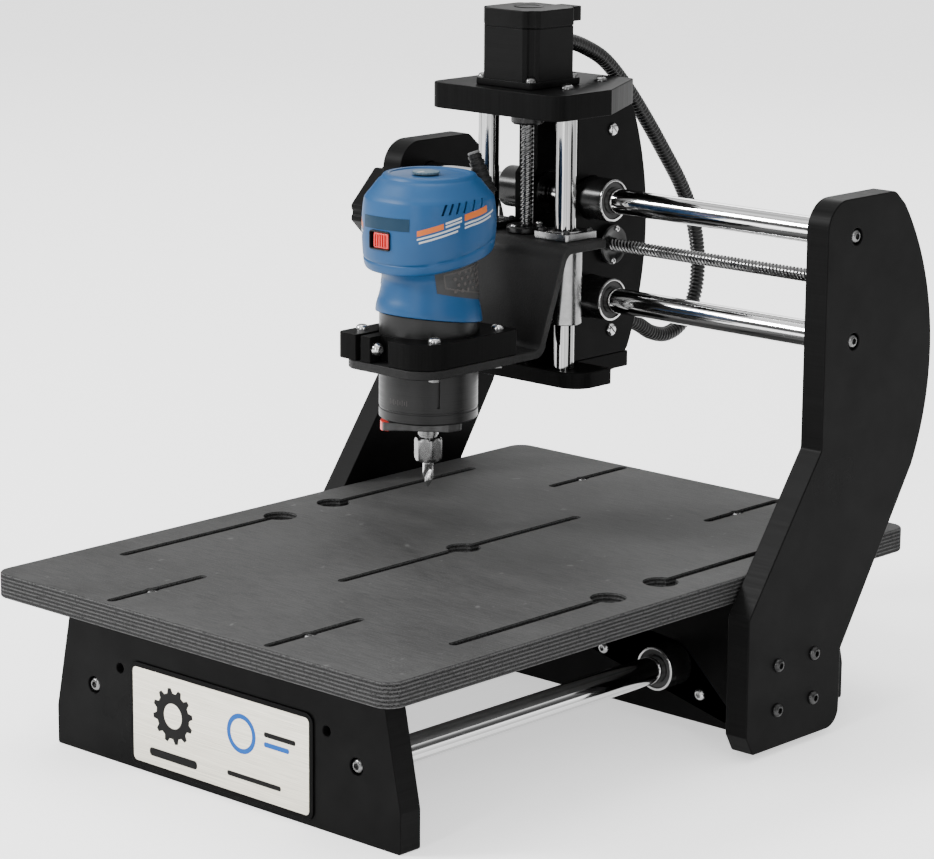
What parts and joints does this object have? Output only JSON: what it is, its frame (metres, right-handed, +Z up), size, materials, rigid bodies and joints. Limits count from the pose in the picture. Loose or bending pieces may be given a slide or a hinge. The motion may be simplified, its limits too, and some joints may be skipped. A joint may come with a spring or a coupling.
{
  "type": "cnc router",
  "caption": "Benchtop gantry CNC router: moving gantry on round rails over a slotted table, carrying a clamped palm router on a three-axis carriage.",
  "frame": {"origin": "bottom centre of the bounding box without the cable loom, on the surface the machine stands on", "axes": "+X along the gantry to the operator's right, +Y from the front panel to the rear panel, +Z up"},
  "size_m": [0.4882, 0.6168, 0.505],
  "materials": {
    "plywood": "grey-stained birch plywood, satin sealed, pale plies at the edge",
    "black_sheet": "black high-density polyethylene sheet, semi-gloss, machined edges",
    "label": "brushed silver name plate with a black border, left blank",
    "chrome_rod": "hard-chromed ground shaft, mirror bright",
    "screw_steel": "rolled lead screw, oiled steel",
    "bolt_black": "black-oxide button-head screw",
    "bolt_steel": "bright zinc-plated screw",
    "bearing_black": "black acetal bush or nut",
    "bearing_steel": "ground steel linear bearing with a square flange",
    "motor_black": "satin black stepper motor",
    "loom": "black corrugated conduit",
    "bracket_grey": "dark grey textured powder coat on bent plate",
    "router_metal": "dark turned aluminium motor housing",
    "router_blue": "mid-blue moulded nylon, satin",
    "gland_rubber": "ribbed rubber cord strain relief",
    "switch_red": "red slide switch",
    "dial_black": "black knurled dial",
    "lock_metal": "light grey spindle-lock lever with a red tip",
    "spindle_steel": "bright steel shaft and collet nut",
    "cutter": "ground fluted cutter"
  },
  "bodies": {
    "base": {"spoilboard": "plywood", "front_panel": "black_sheet", "rear_panel": "black_sheet", "label_plate": "label", "y_rail_left": "chrome_rod", "y_rail_right": "chrome_rod", "rail_bolt_left": "bolt_black", "rail_bolt_right": "bolt_black", "y_screw_bearing": "bearing_black", "y_motor": "motor_black"},
    "y_screw": {"y_lead_screw": "screw_steel"},
    "gantry": {"gantry_side_left": "black_sheet", "gantry_side_right": "black_sheet", "cross_plate_front": "black_sheet", "cross_plate_rear": "black_sheet", "y_bearing_left_front": "bearing_black", "y_bearing_left_rear": "bearing_black", "y_bearing_right_front": "bearing_black", "y_bearing_right_rear": "bearing_black", "y_nut": "bearing_black", "x_rail_upper": "chrome_rod", "x_rail_lower": "chrome_rod", "x_rail_bolt_upper": "bolt_black", "x_rail_bolt_lower": "bolt_black", "x_screw_bearing": "bearing_black", "x_motor": "motor_black"},
    "x_screw": {"x_lead_screw": "screw_steel"},
    "x_carriage": {"carriage_side_left": "black_sheet", "carriage_side_right": "black_sheet", "x_bearing_left_upper": "bearing_black", "x_bearing_left_lower": "bearing_black", "x_bearing_right_upper": "bearing_black", "x_bearing_right_lower": "bearing_black", "x_nut": "bearing_black", "carriage_brace": "black_sheet", "z_top_plate": "black_sheet", "z_bottom_plate": "black_sheet", "z_rod_left": "chrome_rod", "z_rod_right": "chrome_rod", "z_screw_bearing": "bearing_black", "z_motor": "motor_black", "cable_loom": "loom"},
    "z_screw": {"z_lead_screw": "screw_steel"},
    "z_carriage": {"z_bracket": "bracket_grey", "z_bearing_left": "bearing_steel", "z_bearing_right": "bearing_steel", "z_nut": "bearing_black", "router_clamp": "black_sheet", "clamp_bolt": "bolt_steel", "router_housing": "router_metal", "router_grip": "router_blue", "router_head": "router_blue", "cord_gland": "gland_rubber"},
    "power_switch": {"power_switch": "switch_red"},
    "speed_dial": {"speed_dial": "dial_black"},
    "spindle_lock": {"spindle_lock": "lock_metal"},
    "spindle": {"spindle_shaft": "spindle_steel", "collet_nut": "spindle_steel", "cutter_bit": "cutter"}
  },
  "joints": [
    {"name": "gantry_slide", "type": "slide", "parent": "base", "child": "gantry", "axis": [0, 1, 0], "range_m": [-0.282, 0.046]},
    {"name": "y_screw_turn", "type": "hinge", "parent": "base", "child": "y_screw", "pos_m": [0.02865, -0.00715, 0.0515], "axis": [0, 1, 0], "range_deg": [-1400, 8100]},
    {"name": "carriage_slide", "type": "slide", "parent": "gantry", "child": "x_carriage", "axis": [1, 0, 0], "range_m": [-0.07, 0.19]},
    {"name": "x_screw_turn", "type": "hinge", "parent": "gantry", "child": "x_screw", "pos_m": [0.02865, 0.18585, 0.324], "axis": [1, 0, 0], "range_deg": [-5500, 2100]},
    {"name": "z_slide", "type": "slide", "parent": "x_carriage", "child": "z_carriage", "axis": [0, 0, 1], "range_m": [-0.029, 0.07]},
    {"name": "z_screw_turn", "type": "hinge", "parent": "x_carriage", "child": "z_screw", "pos_m": [-0.03135, 0.12435, 0.4287], "axis": [0, 0, 1], "range_deg": [-2100, 900]},
    {"name": "spindle_spin", "type": "hinge", "parent": "z_carriage", "child": "spindle", "pos_m": [-0.03135, 0.01855, 0.213], "axis": [0, 0, 1], "continuous": true},
    {"name": "power_switch_slide", "type": "slide", "parent": "z_carriage", "child": "power_switch", "axis": [-1, 0, 0], "range_m": [0, 0.003]},
    {"name": "speed_dial_turn", "type": "hinge", "parent": "z_carriage", "child": "speed_dial", "pos_m": [-0.03135, 0.01485, 0.3933], "axis": [0, 0, 1], "range_deg": [0, 270]},
    {"name": "spindle_lock_press", "type": "slide", "parent": "z_carriage", "child": "spindle_lock", "axis": [0.7071, 0.7071, 0], "range_m": [0, 0.0025], "stiffness_N_per_m": 600, "springref_m": -0.002}
  ],
  "couplings": [
    {"joint": "y_screw_turn", "follows": "gantry_slide", "rad_per_m": -494.74},
    {"joint": "x_screw_turn", "follows": "carriage_slide", "rad_per_m": -494.74},
    {"joint": "z_screw_turn", "follows": "z_slide", "rad_per_m": -494.74}
  ]
}
